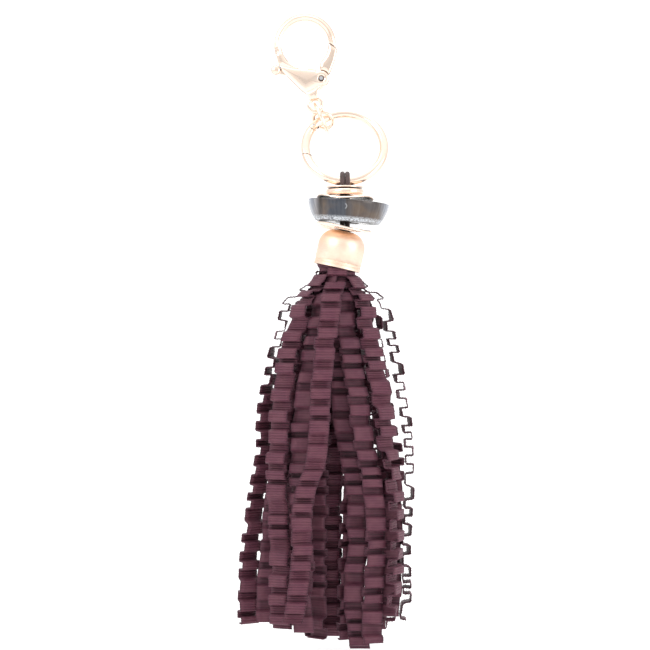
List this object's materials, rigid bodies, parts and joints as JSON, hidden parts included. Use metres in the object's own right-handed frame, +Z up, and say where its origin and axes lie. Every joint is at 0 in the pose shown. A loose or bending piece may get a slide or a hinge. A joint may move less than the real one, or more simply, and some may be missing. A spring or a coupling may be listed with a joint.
{
  "type": "tassel bag charm",
  "caption": "Lobster clasp on linked rings over a sprung gate ring, with a washer and stone stack and a long pleated ribbon tassel under a bell cap.",
  "frame": {"origin": "centre of the clasp's hook opening", "axes": "+Z up along the hanging charm, +Y from its front to its back, +X to the right seen from the front"},
  "size_m": [0.0664, 0.0348, 0.2303],
  "materials": {
    "polished_rose_gold": "polished rose gold plate",
    "satin_rose_gold": "satin rose gold plate",
    "spring_steel": "bright spring steel",
    "dark_cord": "braided waxed cord",
    "smoky_stone": "polished smoky stone with a frosted rough lower rim",
    "plum_ribbon": "pleated grosgrain ribbon"
  },
  "bodies": {
    "clasp": {"clasp_body": "polished_rose_gold", "clasp_pin": "spring_steel", "clasp_spring": "spring_steel"},
    "lever": {"clasp_lever": "polished_rose_gold"},
    "upper_ring": {"jump_ring_upper": "polished_rose_gold"},
    "lower_ring": {"jump_ring_lower": "polished_rose_gold"},
    "gate_ring": {"gate_ring_body": "polished_rose_gold", "gate_pin": "spring_steel", "gate_spring": "spring_steel"},
    "gate": {"gate_ring_gate": "polished_rose_gold"},
    "tassel": {"cord_left": "dark_cord", "cord_right": "dark_cord", "tassel_head": "plum_ribbon", "ribbon_08": "plum_ribbon", "ribbon_09": "plum_ribbon", "ribbon_10": "plum_ribbon", "ribbon_11": "plum_ribbon", "ribbon_12": "plum_ribbon", "ribbon_13": "plum_ribbon", "ribbon_14": "plum_ribbon", "ribbon_15": "plum_ribbon", "ribbon_16": "plum_ribbon", "ribbon_17": "plum_ribbon", "ribbon_18": "plum_ribbon", "ribbon_19": "plum_ribbon", "ribbon_20": "plum_ribbon"},
    "top_washer": {"top_washer": "polished_rose_gold"},
    "rondelle": {"rondelle": "polished_rose_gold"},
    "wavy_disc_upper": {"wavy_disc_upper": "polished_rose_gold"},
    "stone": {"stone_disc": "smoky_stone"},
    "wavy_disc_lower": {"wavy_disc_lower": "polished_rose_gold"},
    "small_washer": {"small_washer": "polished_rose_gold"},
    "bell_cap": {"bell_cap": "satin_rose_gold"},
    "ribbon_01": {"ribbon_01": "plum_ribbon"},
    "ribbon_02": {"ribbon_02": "plum_ribbon"},
    "ribbon_03": {"ribbon_03": "plum_ribbon"},
    "ribbon_04": {"ribbon_04": "plum_ribbon"},
    "ribbon_05": {"ribbon_05": "plum_ribbon"},
    "ribbon_06": {"ribbon_06": "plum_ribbon"},
    "ribbon_07": {"ribbon_07": "plum_ribbon"}
  },
  "joints": [
    {"name": "clasp_lever_hinge", "type": "hinge", "parent": "clasp", "child": "lever", "pos_m": [0.00591, 0, -0.01248], "axis": [0, -1, 0], "range_deg": [0, 18]},
    {"name": "upper_ring_swing", "type": "hinge", "parent": "clasp", "child": "upper_ring", "pos_m": [0.00383, 0, -0.02217], "axis": [0, 1, 0], "range_deg": [-4, 4]},
    {"name": "lower_ring_swing", "type": "hinge", "parent": "upper_ring", "child": "lower_ring", "pos_m": [0.0078, 0.00686, -0.03054], "axis": [-0.2551, 0.8036, 0.5378], "range_deg": [-3, 3]},
    {"name": "gate_ring_swing", "type": "hinge", "parent": "lower_ring", "child": "gate_ring", "pos_m": [0.00648, 0.004, -0.02691], "axis": [-0.829, -0.2451, -0.5026], "range_deg": [-4, 4]},
    {"name": "gate_hinge", "type": "hinge", "parent": "gate_ring", "child": "gate", "pos_m": [0.00312, 0.00261, -0.02975], "axis": [0, -0.8988, 0.4384], "range_deg": [0, 20]},
    {"name": "tassel_swing", "type": "hinge", "parent": "gate_ring", "child": "tassel", "pos_m": [0.0145, -0.00751, -0.0505], "axis": [1, 0, 0], "range_deg": [-12, 12]},
    {"name": "top_washer_spin", "type": "hinge", "parent": "tassel", "child": "top_washer", "pos_m": [0.0145, -0.00751, -0.05272], "axis": [0, 0, 1], "continuous": true},
    {"name": "rondelle_spin", "type": "hinge", "parent": "tassel", "child": "rondelle", "pos_m": [0.0145, -0.00751, -0.05445], "axis": [0, 0, 1], "continuous": true},
    {"name": "wavy_disc_upper_spin", "type": "hinge", "parent": "tassel", "child": "wavy_disc_upper", "pos_m": [0.0146, -0.00751, -0.05675], "axis": [0.0436, 0, 0.999], "continuous": true},
    {"name": "stone_spin", "type": "hinge", "parent": "tassel", "child": "stone", "pos_m": [0.0159, -0.00751, -0.05796], "axis": [0.0785, 0, 0.9969], "continuous": true},
    {"name": "wavy_disc_lower_spin", "type": "hinge", "parent": "tassel", "child": "wavy_disc_lower", "pos_m": [0.0142, -0.00751, -0.06722], "axis": [0.1564, 0, 0.9877], "continuous": true},
    {"name": "small_washer_spin", "type": "hinge", "parent": "tassel", "child": "small_washer", "pos_m": [0.0145, -0.00751, -0.06815], "axis": [0.1908, 0, 0.9816], "continuous": true},
    {"name": "bell_cap_spin", "type": "hinge", "parent": "tassel", "child": "bell_cap", "pos_m": [0.01156, -0.00751, -0.08195], "axis": [0.2164, 0, 0.9763], "continuous": true},
    {"name": "ribbon_01_swing", "type": "hinge", "parent": "tassel", "child": "ribbon_01", "pos_m": [0.01171, -0.01381, -0.07985], "axis": [-1, 0, 0], "range_deg": [0, 8]},
    {"name": "ribbon_02_swing", "type": "hinge", "parent": "tassel", "child": "ribbon_02", "pos_m": [0.01663, -0.01144, -0.07985], "axis": [-0.6235, -0.7818, 0], "range_deg": [0, 8]},
    {"name": "ribbon_03_swing", "type": "hinge", "parent": "tassel", "child": "ribbon_03", "pos_m": [0.01785, -0.00611, -0.07985], "axis": [0.2225, -0.9749, 0], "range_deg": [0, 8]},
    {"name": "ribbon_04_swing", "type": "hinge", "parent": "tassel", "child": "ribbon_04", "pos_m": [0.01444, -0.00184, -0.07985], "axis": [0.901, -0.4339, 0], "range_deg": [0, 8]},
    {"name": "ribbon_05_swing", "type": "hinge", "parent": "tassel", "child": "ribbon_05", "pos_m": [0.00897, -0.00184, -0.07985], "axis": [0.901, 0.4339, 0], "range_deg": [0, 8]},
    {"name": "ribbon_06_swing", "type": "hinge", "parent": "tassel", "child": "ribbon_06", "pos_m": [0.00556, -0.00611, -0.07985], "axis": [0.2225, 0.9749, 0], "range_deg": [0, 8]},
    {"name": "ribbon_07_swing", "type": "hinge", "parent": "tassel", "child": "ribbon_07", "pos_m": [0.00678, -0.01144, -0.07985], "axis": [-0.6235, 0.7818, 0], "range_deg": [0, 8]}
  ]
}
